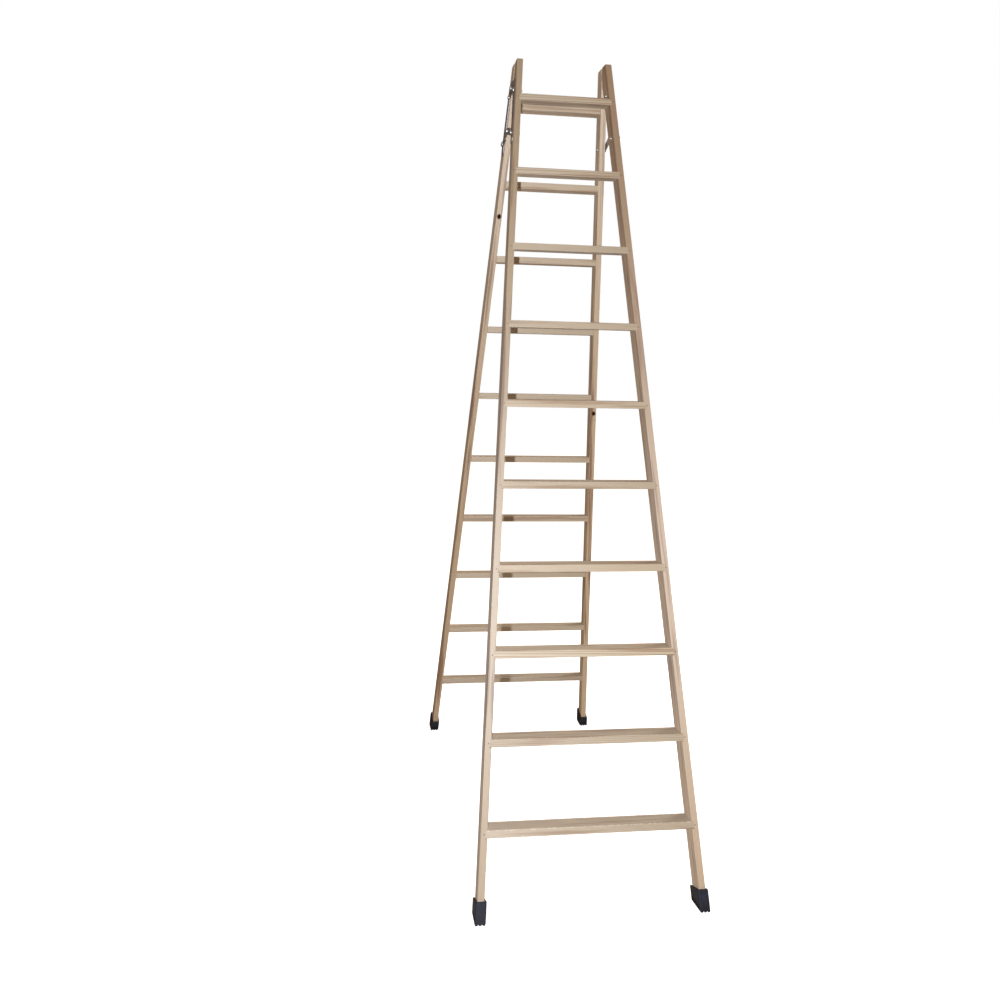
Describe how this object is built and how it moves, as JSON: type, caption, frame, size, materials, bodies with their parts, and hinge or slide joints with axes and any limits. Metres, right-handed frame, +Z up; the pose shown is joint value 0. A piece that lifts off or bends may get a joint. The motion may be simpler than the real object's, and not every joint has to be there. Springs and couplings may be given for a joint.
{
  "type": "double-sided folding step ladder",
  "caption": "Wooden double-sided step ladder: two tapered frames of flat treads hinged at the top, with folding steel stays and rubber feet.",
  "frame": {"origin": "on the floor, midway between the four feet, straight below the hinge pivot", "axes": "+Z up, X along the treads and the pivot axis, -Y towards the front frame"},
  "size_m": [0.7622, 1.8706, 2.8057],
  "materials": {
    "pine": "planed, unpainted pine",
    "hinge_steel": "pressed mild steel sheet, rolled grey surface",
    "rivet_steel": "bright zinc-plated rivet heads",
    "pin_steel": "plain wire nail",
    "foot_rubber": "moulded dark rubber"
  },
  "bodies": {
    "front_frame": {"front_left_stile": "pine", "front_left_foot": "foot_rubber", "front_left_hinge_plate": "hinge_steel", "front_left_stay_rivet": "rivet_steel", "front_right_stile": "pine", "front_right_foot": "foot_rubber", "front_right_hinge_plate": "hinge_steel", "front_right_stay_rivet": "rivet_steel", "front_tread_01": "pine", "front_tread_02": "pine", "front_tread_03": "pine", "front_tread_04": "pine", "front_tread_05": "pine", "front_tread_06": "pine", "front_tread_07": "pine", "front_tread_08": "pine", "front_tread_09": "pine", "front_tread_10": "pine", "front_tread_pins": "pin_steel", "front_plate_rivets": "rivet_steel", "right_pivot_rivet": "rivet_steel"},
    "rear_frame": {"rear_left_stile": "pine", "rear_left_foot": "foot_rubber", "rear_left_hinge_plate": "hinge_steel", "rear_left_stay_rivet": "rivet_steel", "rear_right_stile": "pine", "rear_right_foot": "foot_rubber", "rear_right_hinge_plate": "hinge_steel", "rear_right_stay_rivet": "rivet_steel", "rear_tread_01": "pine", "rear_tread_02": "pine", "rear_tread_03": "pine", "rear_tread_04": "pine", "rear_tread_05": "pine", "rear_tread_06": "pine", "rear_tread_07": "pine", "rear_tread_08": "pine", "rear_tread_09": "pine", "rear_tread_10": "pine", "rear_tread_pins": "pin_steel", "rear_plate_rivets": "rivet_steel", "left_pivot_rivet": "rivet_steel"},
    "front_left_stay": {"front_left_stay": "hinge_steel", "left_elbow_rivet_tail": "rivet_steel"},
    "front_right_stay": {"front_right_stay": "hinge_steel", "right_elbow_rivet_head": "rivet_steel"},
    "rear_left_stay": {"rear_left_stay": "hinge_steel", "left_elbow_rivet_head": "rivet_steel"},
    "rear_right_stay": {"rear_right_stay": "hinge_steel", "right_elbow_rivet_tail": "rivet_steel"}
  },
  "joints": [
    {"name": "frame_fold", "type": "hinge", "parent": "front_frame", "child": "rear_frame", "pos_m": [0, 0, 2.71565], "axis": [-1, 0, 0], "range_deg": [0, 34.5]},
    {"name": "front_left_stay_swing", "type": "hinge", "parent": "front_frame", "child": "front_left_stay", "pos_m": [-0.19072, -0.10404, 2.54008], "axis": [0.9976, -0.0204, -0.0656], "range_deg": [0, 32.57]},
    {"name": "front_right_stay_swing", "type": "hinge", "parent": "front_frame", "child": "front_right_stay", "pos_m": [0.19072, -0.10404, 2.54008], "axis": [0.9976, 0.0204, 0.0656], "range_deg": [0, 32.57]},
    {"name": "rear_left_stay_swing", "type": "hinge", "parent": "rear_frame", "child": "rear_left_stay", "pos_m": [-0.19072, 0.10404, 2.54008], "axis": [-0.9976, -0.0204, 0.0656], "range_deg": [0, 32.57]},
    {"name": "rear_right_stay_swing", "type": "hinge", "parent": "rear_frame", "child": "rear_right_stay", "pos_m": [0.19072, 0.10404, 2.54008], "axis": [-0.9976, 0.0204, -0.0656], "range_deg": [0, 32.57]}
  ],
  "couplings": [
    {"joint": "front_left_stay_swing", "follows": "frame_fold", "ratio": 0.94256},
    {"joint": "front_right_stay_swing", "follows": "frame_fold", "ratio": 0.94256},
    {"joint": "rear_left_stay_swing", "follows": "frame_fold", "ratio": 0.94256},
    {"joint": "rear_right_stay_swing", "follows": "frame_fold", "ratio": 0.94256}
  ]
}
